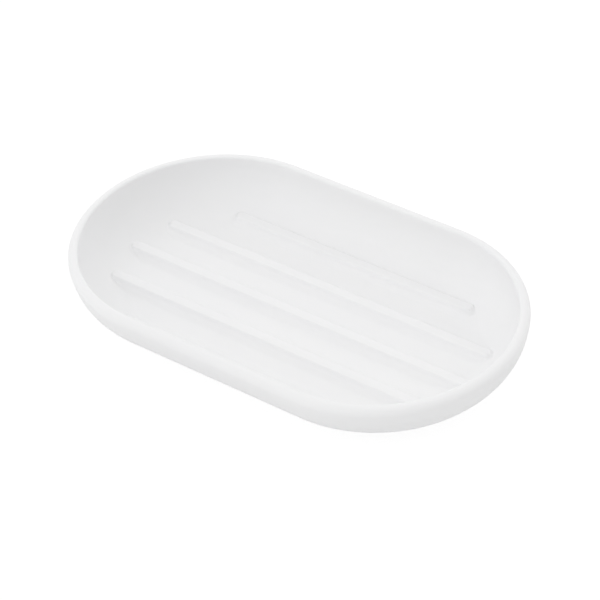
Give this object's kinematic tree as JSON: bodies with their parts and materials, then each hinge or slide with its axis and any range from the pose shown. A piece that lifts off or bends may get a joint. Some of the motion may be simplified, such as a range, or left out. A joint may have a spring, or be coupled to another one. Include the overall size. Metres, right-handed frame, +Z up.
{
  "type": "soap dish",
  "caption": "Shallow soap dish with round ends, a rounded rim, a coved well with lengthwise drainage ribs and non-slip feet.",
  "frame": {"origin": "on the surface that the dish stands on, below the middle of the dish", "axes": "+X along the dish's length, +Y across to the back, +Z up out of the well"},
  "size_m": [0.14, 0.083, 0.02],
  "materials": {
    "moulded_plastic": "fine matt moulded white",
    "silicone": "milky silicone"
  },
  "bodies": {
    "root": {"dish_body": "moulded_plastic", "foot_front_left": "silicone", "foot_front_right": "silicone", "foot_back_left": "silicone", "foot_back_right": "silicone"}
  },
  "joints": []
}
